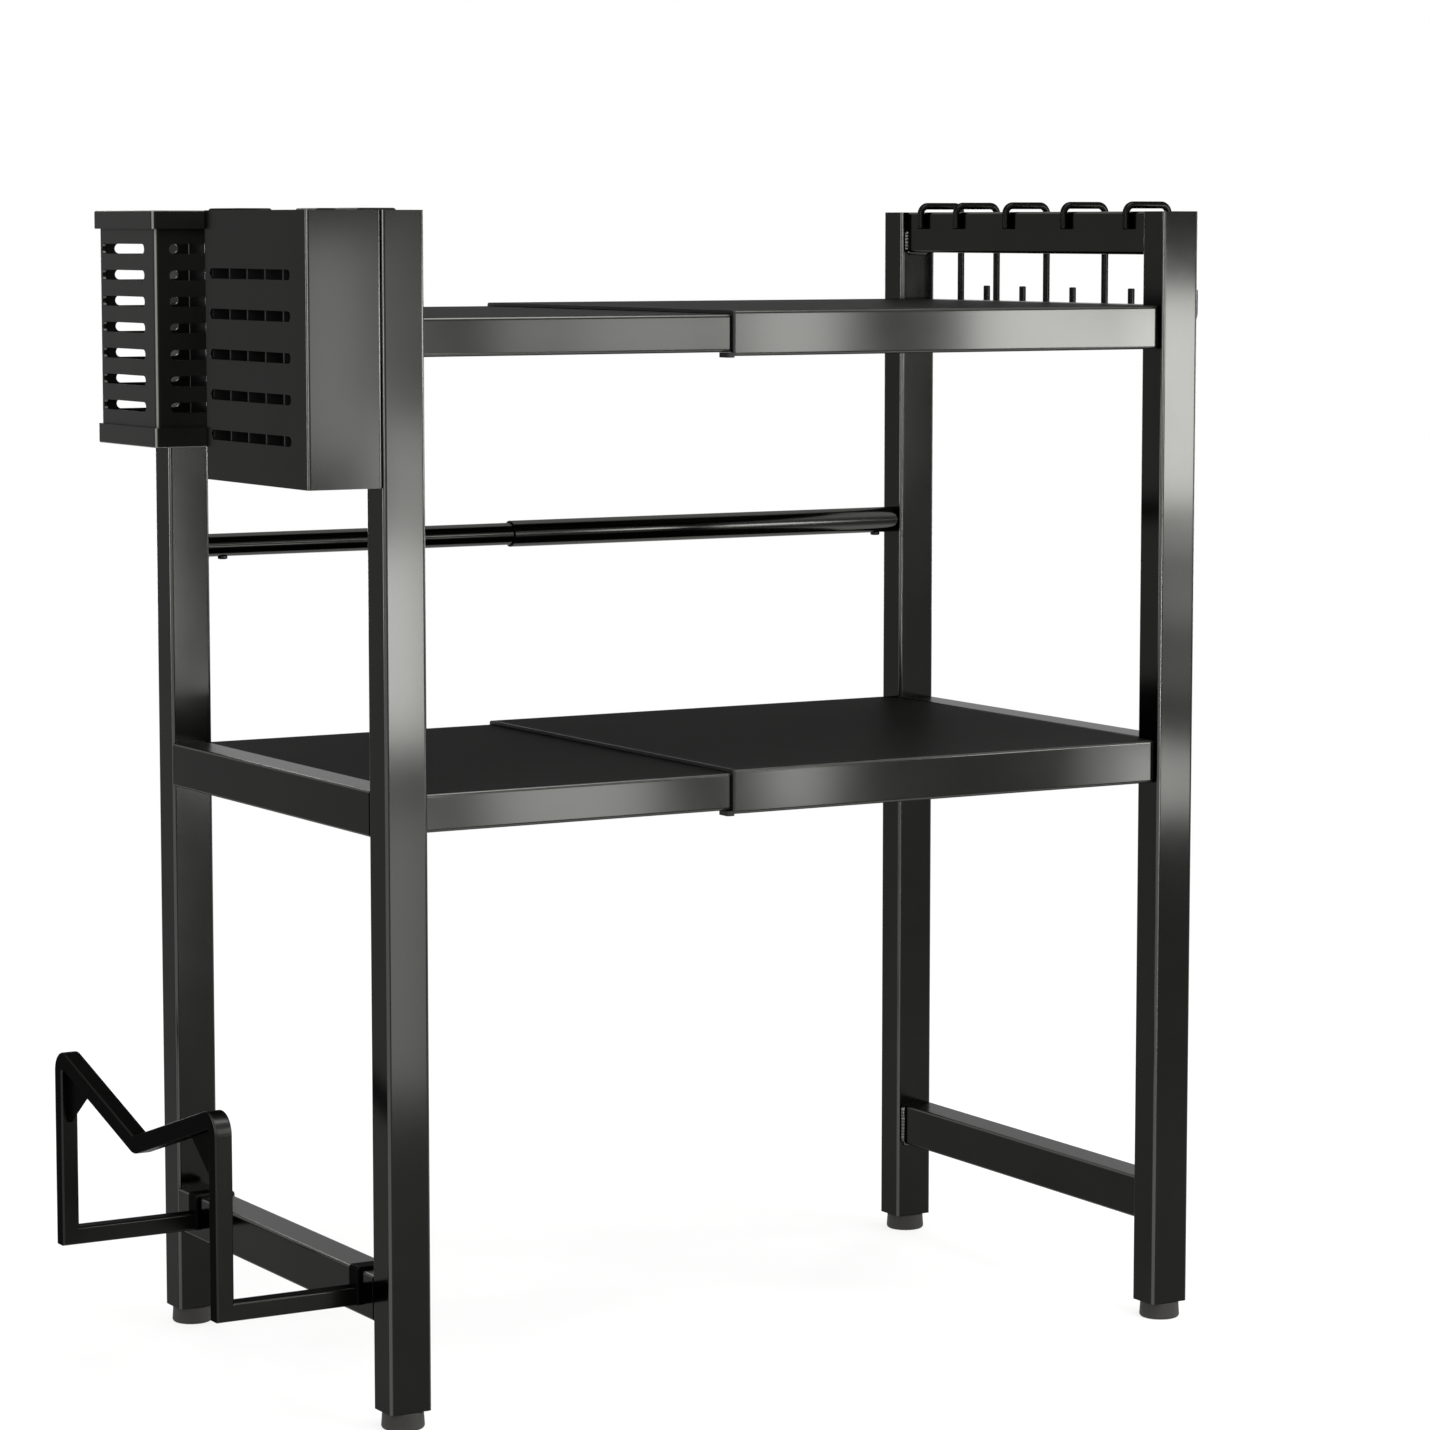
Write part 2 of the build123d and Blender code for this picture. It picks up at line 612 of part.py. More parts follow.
# Rivets: flush at the strap, bridging the rim's thickness behind the body, headed inside the caddy
rivet_seat = body_back - caddy_wall
with BuildPart() as caddy_rivets:
    with BuildSketch(facing(rivet_seat, body_y, stand_top, -1)):
        with Locations(*[(0, -drop) for drop in rivet_drops]):
            Circle(rivet_head_radius)
    extrude(amount=rivet_head_height)
    fillet(caddy_rivets.edges().filter_by(GeomType.CIRCLE).sort_by(Axis.X)[:2], rivet_head_height / 2)
    with BuildSketch(facing(rivet_seat, body_y, stand_top, 1)):
        with Locations(*[(0, -drop) for drop in rivet_drops]):
            Circle(rivet_radius)
    extrude(amount=caddy_wall + rim_back + strap_thickness)
save(caddy_rivets.part, "caddy_rivets")


# Board holder: one square bar bent into two arms and an M, on two clips over the bottom rail
bar_x = left_face - holder_reach + bar_size / 2
holder_base = bottom_rail_top - holder_drop
arm_level = holder_base + bar_size / 2
peak_level = bottom_rail_top + holder_peak_rise - bar_size / 2
valley_level = bottom_rail_top + holder_valley_rise + bar_size / 2
clip_outside = left_face - clip_fit - clip_thickness
front_arm = rail_front + holder_front_margin
rear_arm = rail_rear - holder_rear_margin
holder_middle = (front_arm + rear_arm) / 2

with BuildPart() as holder_bar:
    with BuildLine():
        FilletPolyline(
            (clip_outside, front_arm, arm_level),
            (bar_x, front_arm, arm_level),
            (bar_x, front_arm, peak_level),
            (bar_x, holder_middle, valley_level),
            (bar_x, rear_arm, peak_level),
            (bar_x, rear_arm, arm_level),
            (clip_outside, rear_arm, arm_level),
            radius=(0, bar_bend, bar_bend, bar_bend, 0))
    with BuildSketch(facing(clip_outside, front_arm, arm_level, -1)):
        RectangleRounded(bar_size, bar_size, bar_corner)
    sweep(transition=Transition.RIGHT)
save(holder_bar.part, "board_holder_bar")

# Triangular gussets welded into the two upper corners of the M, filling the bar's inner bends
down = Vector(0, -1)
with BuildPart() as holder_gussets:
    with BuildSketch(facing(bar_x, 0, 0, 1)):
        for arm in (front_arm, rear_arm):
            run = Vector(holder_middle - arm, valley_level - peak_level).normalized()
            half_angle = down.get_angle(run) / 2
            inwards = (down + run).normalized() * (bar_size / 2 / sin(radians(half_angle)))
            corner = Vector(arm, peak_level) + inwards
            low, far = corner + down * gusset_leg, corner + run * gusset_leg
            with BuildLine():
                FilletPolyline(low, corner, far, radius=bar_bend - bar_size / 2)
                Line(far, low)
            make_face()
    extrude(amount=gusset_thickness / 2, both=True)
save(holder_gussets.part, "board_holder_gussets")

clip_x = clip_outside + clip_thickness / 2
clip_level = bottom_rail_top + hang_gap + clip_thickness / 2
clip_inside = rail_inside + clip_fit + clip_thickness / 2
with BuildPart() as holder_clips:
    for arm in (front_arm, rear_arm):
        with BuildSketch(Plane.XZ.offset(-arm)):
            with BuildLine():
                FilletPolyline((clip_x, holder_base), (clip_x, clip_level), (clip_inside, clip_level),
                               (clip_inside, bottom_rail_top - clip_drop), radius=bend_radius)
            trace(line_width=clip_thickness)
        extrude(amount=clip_width / 2, both=True)
save(holder_clips.part, "board_holder_clips")


# Wire hooks over the right top rail: short leg inside, long leg outside ending in a J
wire_inside = right_face - rail_width - hook_fit - wire_radius
wire_outside = right_face + hook_standoff + wire_radius
wire_top = stand_top + hook_rise - wire_radius
tip_x = right_face + hook_throw
bowl_radius = (tip_x - wire_outside) / 2
bowl_level = stand_top - hook_drop + wire_radius + bowl_radius
hook_run = rail_length - 2 * hook_margin

for number, share in enumerate(hook_shares, start=1):
    hook_y = rail_front + hook_margin + share * hook_run
    with BuildPart() as hook:
        with BuildLine(Plane.XZ.offset(-hook_y)):
            FilletPolyline((wire_inside, stand_top - hook_back_drop), (wire_inside, wire_top),
                           (wire_outside, wire_top), (wire_outside, bowl_level), radius=hook_bend)
            ThreePointArc((wire_outside, bowl_level), (wire_outside + bowl_radius, bowl_level - bowl_radius),
                          (tip_x, bowl_level))
            Line((tip_x, bowl_level), (tip_x, stand_top - hook_tip_drop))
        with BuildSketch(Plane((wire_inside, hook_y, stand_top - hook_back_drop))):
            Circle(wire_radius)
        sweep()
        hook_ends = hook.faces().filter_by(GeomType.PLANE)
        fillet(hook_ends.edges(), hook_rounding)
    save(hook.part, f"hook_{number}")
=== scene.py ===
# Two-tier stand with telescoping shelves: finishes, welds, threads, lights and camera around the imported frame
import math

import bmesh
import bpy
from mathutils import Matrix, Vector


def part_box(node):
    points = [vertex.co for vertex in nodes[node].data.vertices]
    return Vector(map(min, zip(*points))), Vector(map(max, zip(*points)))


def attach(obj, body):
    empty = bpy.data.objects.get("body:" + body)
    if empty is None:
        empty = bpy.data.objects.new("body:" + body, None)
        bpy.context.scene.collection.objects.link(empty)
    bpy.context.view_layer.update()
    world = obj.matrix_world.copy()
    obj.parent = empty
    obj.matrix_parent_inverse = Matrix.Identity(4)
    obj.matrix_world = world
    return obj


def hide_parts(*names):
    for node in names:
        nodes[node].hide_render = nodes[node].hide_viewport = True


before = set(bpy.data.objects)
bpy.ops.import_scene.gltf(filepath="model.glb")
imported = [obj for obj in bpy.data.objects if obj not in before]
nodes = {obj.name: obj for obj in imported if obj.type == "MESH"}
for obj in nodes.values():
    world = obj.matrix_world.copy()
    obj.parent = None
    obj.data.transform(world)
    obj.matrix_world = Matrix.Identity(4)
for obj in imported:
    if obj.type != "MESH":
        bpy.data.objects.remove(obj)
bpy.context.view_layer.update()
sides = ("left", "right")
mm = 0.001


def hexToLinear(code):
    # the sRGB curve, with full cover as the fourth number
    levels = [int(code[i:i + 2], 16) / 255 for i in (1, 3, 5)]
    return [v / 12.92 if v <= 0.04045 else ((v + 0.055) / 1.055) ** 2.4 for v in levels] + [1.0]


def addNode(tree, kind, settings={}, links={}):
    node = tree.nodes.new("ShaderNode" + kind)
    for key, value in settings.items():
        if isinstance(key, str) and hasattr(node, key):
            setattr(node, key, value)
        else:
            node.inputs[key].default_value = value
    for key, (source, output) in links.items():
        tree.links.new(source.outputs[output], node.inputs[key])
    return node


def startMaterial(name):
    material = bpy.data.materials.new(name)
    material.use_nodes = True
    tree = material.node_tree
    tree.nodes.clear()
    place = addNode(tree, "TexCoord")
    return material, tree, place


def finishMaterial(tree, shader):
    addNode(tree, "OutputMaterial", links={"Surface": (shader, 0)})


def findEdges(tree, surface, limits):
    # 1 on an edge, which is where the surface faces none of the three axes, and 0 on a face
    size = addNode(tree, "VectorMath", {"operation": "ABSOLUTE"}, {0: (surface, "Normal")})
    axes = addNode(tree, "SeparateXYZ", links={0: (size, 0)})
    twoAxes = addNode(tree, "Math", {"operation": "MAXIMUM"}, {0: (axes, "X"), 1: (axes, "Y")})
    allAxes = addNode(tree, "Math", {"operation": "MAXIMUM"}, {0: (twoAxes, 0), 1: (axes, "Z")})
    return addNode(tree, "MapRange", {"interpolation_type": "SMOOTHSTEP", "From Min": limits[0],
                                      "From Max": limits[1]}, {"Value": (allAxes, 0)})


def perMm(size):
    return 1 / (size * mm)  # texture scale whose features are that many millimetres across


# Satin powder coat over steel tube, sprayed and baked: graphite pigment with a little metal flake.
# The eye gets soft dark-metal gradients on the faces, light lines along the rounded edges, which the
# edge colour paints in as a highlight, and near-black sides.
satinCoat = {
    "name": "satinPowderCoatedSteel",
    "pigment": "#1f1f1e",
    "pigmentThin": "#242423",  # where the spray lay thinner
    "edge": "#4c4c4a",  # painted highlight: the rounded edges are drawn lighter than the faces
    "edgeLimits": (0.999, 0.9),  # how squarely a surface faces an axis where an edge starts and is full
    "grazing": "#cacaca",
    "metallic": 1.0,
    "specular": 0.1,
    "roughness": (0.11, 0.15),
    "topRoughness": 0.3,  # what faces up is handled and wiped, so it is duller
    "topLimits": (0.6, 0.95),  # how far a surface faces up where that starts and is full
    "cloudSize": 45,
    "peelSize": 1.6,  # real orange peel is about 0.8 mm, drawn coarser so that it shows
    "peelDepth": 0.004,
    "peelStrength": 0.35,
    "edgeRound": 0.4,
}

# The shelves wear the same coat, duller on top under years of sliding things; this copy's darker grazing tint
# paints shade on their flat tops, so they stay near black when seen low
shelfCoat = dict(satinCoat, name="satinPowderCoatedSheet", pigment="#232322", pigmentThin="#282827",
                 grazing="#141414", metallic=0.9, topRoughness=0.5)

# Semi-gloss black powder coat on the bent bar: deeper black and duller, with its sides almost lost and a faint
# painted highlight along its edges
barCoat = dict(satinCoat, name="blackPowderCoatedBar", pigment="#1d1d1c", pigmentThin="#222221",
               edge="#2b2b2a", grazing="#5c5c5c", metallic=0.95, roughness=(0.22, 0.28),
               topRoughness=0.32, cloudSize=30, peelDepth=0.005)


def makePowderCoat(spec):
    material, tree, place = startMaterial(spec["name"])
    clouds = addNode(tree, "TexNoise", {"Scale": perMm(spec["cloudSize"]), "Detail": 3.0, "Roughness": 0.55},
                     {"Vector": (place, "Object")})
    body = addNode(tree, "Mix", {"data_type": "RGBA", 6: hexToLinear(spec["pigment"]),
                                 7: hexToLinear(spec["pigmentThin"])}, {0: (clouds, "Fac")})
    surface = addNode(tree, "NewGeometry")
    edge = findEdges(tree, surface, spec["edgeLimits"])
    # painted highlight: the lighter edge colour mixed in where the surface faces no axis
    coatAndPaintedEdges = addNode(tree, "Mix", {"data_type": "RGBA", 7: hexToLinear(spec["edge"])},
                   {0: (edge, 0), 6: (body, 2)})
    sprayed = addNode(tree, "MapRange", {"To Min": spec["roughness"][0], "To Max": spec["roughness"][1]},
                      {"Value": (clouds, "Fac")})
    facing = addNode(tree, "SeparateXYZ", links={0: (surface, "Normal")})
    top = addNode(tree, "MapRange", {"From Min": spec["topLimits"][0], "From Max": spec["topLimits"][1]},
                  {"Value": (facing, "Z")})
    gloss = addNode(tree, "Mix", {3: spec["topRoughness"]}, {0: (top, 0), 2: (sprayed, 0)})
    peel = addNode(tree, "TexNoise", {"Scale": perMm(spec["peelSize"]), "Detail": 1.5},
                   {"Vector": (place, "Object")})
    rounded = addNode(tree, "Bevel", {"samples": 4, "Radius": spec["edgeRound"] * mm})
    bump = addNode(tree, "Bump", {"Strength": spec["peelStrength"], "Distance": spec["peelDepth"] * mm},
                   {"Height": (peel, "Fac"), "Normal": (rounded, 0)})
    shader = addNode(tree, "BsdfPrincipled", {"Metallic": spec["metallic"],
                                              "Specular IOR Level": spec["specular"],
                                              "Specular Tint": hexToLinear(spec["grazing"])},
                     {"Base Color": (coatAndPaintedEdges, 2), "Roughness": (gloss, 0), "Normal": (bump, 0)})
    finishMaterial(tree, shader)
    return material


# Dip-lacquered wire: a thin gloss film over black paint, so the round wire carries one narrow highlight
wireLacquer = {
    "name": "dippedBlackLacquer",
    "paint": "#141413",
    "paintThin": "#191918",
    "grazing": "#4a4a4a",
    "metallic": 0.9,
    "specular": 0.1,
    "roughness": 0.24,
    "runSize": 9,  # soft runs along the wire from dipping
    "runDepth": 0.03,
    "runStrength": 0.3,
}


def makeWireLacquer(spec):
    material, tree, place = startMaterial(spec["name"])
    runs = addNode(tree, "TexNoise", {"Scale": perMm(spec["runSize"]), "Detail": 2.0},
                   {"Vector": (place, "Object")})
    paint = addNode(tree, "Mix", {"data_type": "RGBA", 6: hexToLinear(spec["paint"]),
                                  7: hexToLinear(spec["paintThin"])}, {0: (runs, "Fac")})
    bump = addNode(tree, "Bump", {"Strength": spec["runStrength"], "Distance": spec["runDepth"] * mm},
                   {"Height": (runs, "Fac")})
    shader = addNode(tree, "BsdfPrincipled", {"Metallic": spec["metallic"],
                                              "Specular IOR Level": spec["specular"],
                                              "Specular Tint": hexToLinear(spec["grazing"]),
                                              "Roughness": spec["roughness"]},
                     {"Base Color": (paint, 2), "Normal": (bump, 0)})
    finishMaterial(tree, shader)
    return material


# Moulded ABS on the caddy. A spark-eroded mould leaves a fine even grain, so the gloss breaks into a soft
# dark sheen, faintly grey in the light.
mouldedAbs = {
    "name": "mouldedBlackAbs",
    "colour": "#0e0e0d",
    "colourWorn": "#131312",
    "edge": "#6e6e6a",  # painted highlight: sharp corners are drawn pale
    "edgeLimits": (0.93, 0.78),
    "edgeRound": 0.3,
    "roughness": (0.34, 0.42),
    "specular": 0.045,
    "flowSize": 35,
    "grainSize": 1.2,  # real spark grain is about 0.1 mm, drawn coarser so that it shows
    "grainDepth": 0.012,
    "grainStrength": 0.4,
}

# Moulded nylon on the guides and leg plugs: duller, with a waxy look and a faint painted highlight on its
# corners
mouldedNylon = dict(mouldedAbs, name="mouldedBlackNylon", colour="#101010", colourWorn="#161615",
                    edge="#1e1e1d", roughness=(0.5, 0.62), specular=0.15, flowSize=20, grainSize=1.0,
                    grainDepth=0.015)
plugNylon = dict(mouldedNylon, name="mouldedPlugNylon")

# Moulded polypropylene on the slotted insert: softest of the three, nearly flat black, with a faint painted
# highlight on its corners
mouldedPolypropylene = dict(mouldedAbs, name="mouldedBlackPolypropylene", colour="#0e0e0e",
                            colourWorn="#141413", edge="#1a1a19", roughness=(0.48, 0.6), specular=0.1,
                            flowSize=30, grainSize=1.4, grainDepth=0.015)


def makeMouldedPlastic(spec):
    material, tree, place = startMaterial(spec["name"])
    flow = addNode(tree, "TexNoise", {"Scale": perMm(spec["flowSize"]), "Detail": 3.0, "Distortion": 0.6},
                   {"Vector": (place, "Object")})
    colour = addNode(tree, "Mix", {"data_type": "RGBA", 6: hexToLinear(spec["colour"]),
                                   7: hexToLinear(spec["colourWorn"])}, {0: (flow, "Fac")})
    surface = addNode(tree, "NewGeometry")
    edge = findEdges(tree, surface, spec["edgeLimits"])
    # painted highlight: the pale corner colour mixed in where the surface faces no axis
    plasticAndPaintedEdges = addNode(tree, "Mix", {"data_type": "RGBA", 7: hexToLinear(spec["edge"])},
                     {0: (edge, 0), 6: (colour, 2)})
    gloss = addNode(tree, "MapRange", {"To Min": spec["roughness"][0], "To Max": spec["roughness"][1]},
                    {"Value": (flow, "Fac")})
    grain = addNode(tree, "TexVoronoi", {"Scale": perMm(spec["grainSize"])}, {"Vector": (place, "Object")})
    rounded = addNode(tree, "Bevel", {"samples": 4, "Radius": spec["edgeRound"] * mm})
    bump = addNode(tree, "Bump", {"Strength": spec["grainStrength"], "Distance": spec["grainDepth"] * mm},
                   {"Height": (grain, "Distance"), "Normal": (rounded, 0)})
    shader = addNode(tree, "BsdfPrincipled", {"Specular IOR Level": spec["specular"]},
                     {"Base Color": (plasticAndPaintedEdges, 2), "Roughness": (gloss, 0), "Normal": (bump, 0)})
    finishMaterial(tree, shader)
    return material


# Moulded rubber feet: carbon black, dull, with a grey bloom and scuffs towards the floor
footRubber = {
    "name": "mouldedRubber",
    "colour": "#191816",
    "bloom": "#2d2b28",
    "bloomSize": 6,
    "scuffHeight": 5,  # above the floor
    "scuffShare": (0.15, 0.8),  # of the bloom, above that height and at the floor
    "roughness": (0.62, 0.8),
    "specular": 0.35,
    "grainSize": 0.9,
    "grainDepth": 0.03,
    "grainStrength": 0.3,
}


def makeFootRubber(spec):
    material, tree, place = startMaterial(spec["name"])
    bloom = addNode(tree, "TexNoise", {"Scale": perMm(spec["bloomSize"]), "Detail": 5.0, "Roughness": 0.65},
                    {"Vector": (place, "Object")})
    height = addNode(tree, "SeparateXYZ", links={0: (place, "Object")})
    low = addNode(tree, "MapRange", {"From Min": spec["scuffHeight"] * mm, "From Max": 0.0,
                                     "To Min": spec["scuffShare"][0], "To Max": spec["scuffShare"][1]},
                  {"Value": (height, "Z")})
    scuff = addNode(tree, "Math", {"operation": "MULTIPLY"}, {0: (bloom, "Fac"), 1: (low, 0)})
    colour = addNode(tree, "Mix", {"data_type": "RGBA", 6: hexToLinear(spec["colour"]),
                                   7: hexToLinear(spec["bloom"])}, {0: (scuff, 0)})
    gloss = addNode(tree, "MapRange", {"To Min": spec["roughness"][0], "To Max": spec["roughness"][1]},
                    {"Value": (bloom, "Fac")})
    grain = addNode(tree, "TexNoise", {"Scale": perMm(spec["grainSize"]), "Detail": 2.0},
                    {"Vector": (place, "Object")})
    bump = addNode(tree, "Bump", {"Strength": spec["grainStrength"], "Distance": spec["grainDepth"] * mm},
                   {"Height": (grain, "Fac")})
    shader = addNode(tree, "BsdfPrincipled", {"Specular IOR Level": spec["specular"]},
                     {"Base Color": (colour, 2), "Roughness": (gloss, 0), "Normal": (bump, 0)})
    finishMaterial(tree, shader)
    return material


# Zinc-plated steel, barrel plated and blue passivated: bright grey metal with a faint bluish cloud and
# fine scratches
zincPlate = {
    "name": "zincPlatedSteel",
    "bright": "#c3c6c9",
    "dull": "#9b9fa6",
    "roughness": (0.28, 0.45),
    "cloudSize": 4,
    "scratchSize": 0.6,
    "scratchDepth": 0.01,
    "scratchStrength": 0.25,
}

# Black oxide on the rear bar's hardened set screws, hot dipped and oiled: the same steel, nearly blue-black
blackOxide = dict(zincPlate, name="blackOxideSteel", bright="#26272a", dull="#191a1c")


def makePlatedSteel(spec):
    material, tree, place = startMaterial(spec["name"])
    clouds = addNode(tree, "TexNoise", {"Scale": perMm(spec["cloudSize"]), "Detail": 4.0},
                     {"Vector": (place, "Object")})
    colour = addNode(tree, "Mix", {"data_type": "RGBA", 6: hexToLinear(spec["bright"]),
                                   7: hexToLinear(spec["dull"])}, {0: (clouds, "Fac")})
    gloss = addNode(tree, "MapRange", {"To Min": spec["roughness"][0], "To Max": spec["roughness"][1]},
                    {"Value": (clouds, "Fac")})
    scratches = addNode(tree, "TexNoise", {"Scale": perMm(spec["scratchSize"]), "Detail": 2.0},
                        {"Vector": (place, "Object")})
    bump = addNode(tree, "Bump", {"Strength": spec["scratchStrength"],
                                  "Distance": spec["scratchDepth"] * mm}, {"Height": (scratches, "Fac")})
    shader = addNode(tree, "BsdfPrincipled", {"Metallic": 1.0},
                     {"Base Color": (colour, 2), "Roughness": (gloss, 0), "Normal": (bump, 0)})
    finishMaterial(tree, shader)
    return material


steelCoat = makePowderCoat(satinCoat)
finishes = {
    "frame_coat": steelCoat,
    "shelf_coat": makePowderCoat(shelfCoat),
    "block_coat": steelCoat,
    "holder_coat": makePowderCoat(barCoat),
    "hook_coat": makeWireLacquer(wireLacquer),
    "guide_plastic": makeMouldedPlastic(mouldedNylon),
    "plug_plastic": makeMouldedPlastic(plugNylon),
    "insert_plastic": makeMouldedPlastic(mouldedPolypropylene),
    "caddy_plastic": makeMouldedPlastic(mouldedAbs),
    "foot_rubber": makeFootRubber(footRubber),
    "zinc_steel": makePlatedSteel(zincPlate),
}
for node in nodes.values():
    for index, old in enumerate(node.data.materials):
        node.data.materials[index] = finishes[old.name]
darkSteel = makePlatedSteel(blackOxide)
for side in sides:
    nodes[f"rear_set_screw_{side}"].data.materials[0] = darkSteel
print("materials made:", len({darkSteel, *finishes.values()}))


def skinRings(mesh, rings):
    # quads from each ring of points to the next, and a flat face over each end
    count = len(rings[0])
    for a, b in zip(rings, rings[1:]):
        for s in range(count):
            t = (s + 1) % count
            mesh.faces.new((a[s], a[t], b[t], b[s]))
    mesh.faces.new(list(reversed(rings[0])))
    mesh.faces.new(rings[-1])


def finishPiece(name, mesh, material, body):
    data = bpy.data.meshes.new(name)
    bmesh.ops.recalc_face_normals(mesh, faces=mesh.faces)
    mesh.to_mesh(data)
    mesh.free()
    data.shade_smooth()
    data.materials.append(material)
    piece = bpy.data.objects.new(name, data)
    bpy.context.scene.collection.objects.link(piece)
    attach(piece, body)
    return piece


# Weld beads, in the corners where each side rail meets its legs
weldBead = {
    "radius": 2.0,
    "ripple": 0.22,  # how far the ripples stand out
    "pitch": 2.4,  # one ripple for each dab of the torch
    "sides": 10,
    "step": 0.4,
    "fewestSteps": 8,
    "tipRadius": 0.05,  # what is left of the bead at its very ends
    "bluntness": 16,  # power of the round that closes the ends
    "fromLeg": 0.2,  # from the leg's face to the bead's middle line
    "fromEdge": 1.0,  # from the rail's top or bottom to the bead's end
    "hookRoom": 14.0,  # the same at the top rails' tops, clear of the sliding hooks
    "underShare": 0.7,  # share of the rail's width that the bead under it runs along
}


def addBead(mesh, start, end, spec):
    line = end - start
    forward = line.normalized()
    across = forward.orthogonal().normalized()
    upward = forward.cross(across)
    count = max(spec["fewestSteps"], round(line.length / (spec["step"] * mm)))
    rings = []
    for k in range(count + 1):
        share = k / count
        along = share * line.length
        taper = math.sqrt(max(0.0, 1 - (2 * share - 1) ** spec["bluntness"]))
        ripple = spec["ripple"] * abs(math.sin(math.pi * along / (spec["pitch"] * mm)))
        radius = max(spec["tipRadius"], (spec["radius"] + ripple) * taper) * mm
        centre = start + line * share
        ring = []
        for s in range(spec["sides"]):
            turn = math.tau * s / spec["sides"]
            ring.append(mesh.verts.new(centre + radius * (math.cos(turn) * across + math.sin(turn) * upward)))
        rings.append(ring)
    skinRings(mesh, rings)


def weldFrame(side, spec):
    mesh = bmesh.new()
    for level in ("top", "upper", "middle", "bottom"):
        low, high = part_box(f"rail_{level}_{side}")
        inner = high.x if side == "left" else low.x  # welded on the inside, ground flush outside
        outer = low.x if side == "left" else high.x
        share = spec["underShare"]
        reach = share * outer + (1 - share) * inner
        bottom = low.z + spec["fromEdge"] * mm
        top = high.z - (spec["hookRoom"] if level == "top" else spec["fromEdge"]) * mm
        for legFace, inward in ((low.y, 1), (high.y, -1)):
            y = legFace + inward * spec["fromLeg"] * mm
            addBead(mesh, Vector((inner, y, bottom)), Vector((inner, y, top)), spec)
            addBead(mesh, Vector((inner, y, low.z)), Vector((reach, y, low.z)), spec)
    finishPiece(f"weld_beads_{side}", mesh, steelCoat, f"{side}_frame")


for side in sides:
    weldFrame(side, weldBead)
print("weld beads laid")

# Threads of the four foot studs
footThread = {
    "pitch": 1.25,
    "depth": 0.55,
    "steepness": 1.25,  # of the flanks, against a plain V: over 1 it leaves a small flat on the crest
    "perTurn": 24,
    "perPitch": 8,
    "chamfer": 1.0,
    "clearance": 0.02,  # keeps the crest inside the plain stud's size
}


def threadStud(corner, spec):
    low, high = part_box(f"foot_stud_{corner}")
    centre = (low + high) / 2
    crest = (high.x - low.x) / 2 - spec["clearance"] * mm
    length = high.z - low.z
    count = round(length / (spec["pitch"] * mm) * spec["perPitch"])
    mesh = bmesh.new()
    rings = []
    for k in range(count + 1):
        height = length * k / count
        ends = min(height, length - height)
        limit = crest - max(0.0, spec["chamfer"] * mm - ends)
        ring = []
        for s in range(spec["perTurn"]):
            turn = s / spec["perTurn"]
            phase = (height / (spec["pitch"] * mm) - turn) % 1
            tooth = min(1.0, spec["steepness"] * abs(2 * phase - 1))
            radius = min(limit, crest - spec["depth"] * mm * (1 - tooth))
            angle = math.tau * turn
            ring.append(mesh.verts.new((centre.x + radius * math.cos(angle),
                                        centre.y + radius * math.sin(angle), low.z + height)))
        rings.append(ring)
    skinRings(mesh, rings)
    stud = finishPiece(f"foot_thread_{corner}", mesh, finishes["zinc_steel"], f"foot_{corner}")
    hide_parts(f"foot_stud_{corner}")


for side in sides:
    for end in ("front", "rear"):
        threadStud(f"{end}_{side}", footThread)
print("foot threads cut")

# Camera at the photograph's place and angle
viewpoint = {
    "location": (-1.5429, -2.7497, 0.7723),
    "tilt": 83.855,
    "turn": -30.312,
    "lens": 114.5,
    "sensor": 36,
}


def placeCamera(spec):
    data = bpy.data.cameras.new("camera")
    data.lens = spec["lens"]
    data.sensor_width = spec["sensor"]
    camera = bpy.data.objects.new("camera", data)
    camera.location = spec["location"]
    camera.rotation_euler = (math.radians(spec["tilt"]), 0, math.radians(spec["turn"]))
    bpy.context.scene.collection.objects.link(camera)
    bpy.context.scene.camera = camera


placeCamera(viewpoint)
bpy.context.scene.view_settings.view_transform = "Standard"
print("camera placed")

# Softboxes around the stand, which give the faces away from the camera their own soft light
softboxes = {
    "leftFront": {"at": (-2.4, -2.2, 1.5), "aim": (0, 0, 0.4), "size": (0.7, 2.2), "radiance": 8.0},
    "overhead": {"at": (0.2, -0.9, 2.6), "aim": (0, 0, 0.4), "size": (1.8, 1.2), "radiance": 6.0},
    "rightSide": {"at": (2.9, -0.9, 1.1), "aim": (0, 0, 0.4), "size": (0.7, 1.6), "radiance": 8.0},
    "back": {"at": (0.4, 3.2, 1.0), "aim": (0, 0, 0.5), "size": (0.7, 1.6), "radiance": 9.0},
    "backRight": {"at": (2.6, 2.0, 1.0), "aim": (0, 0, 0.5), "size": (0.6, 1.6), "radiance": 9.0},
    "backLeft": {"at": (-3.0, 1.0, 1.0), "aim": (0, 0, 0.5), "size": (0.6, 1.6), "radiance": 9.0},
}

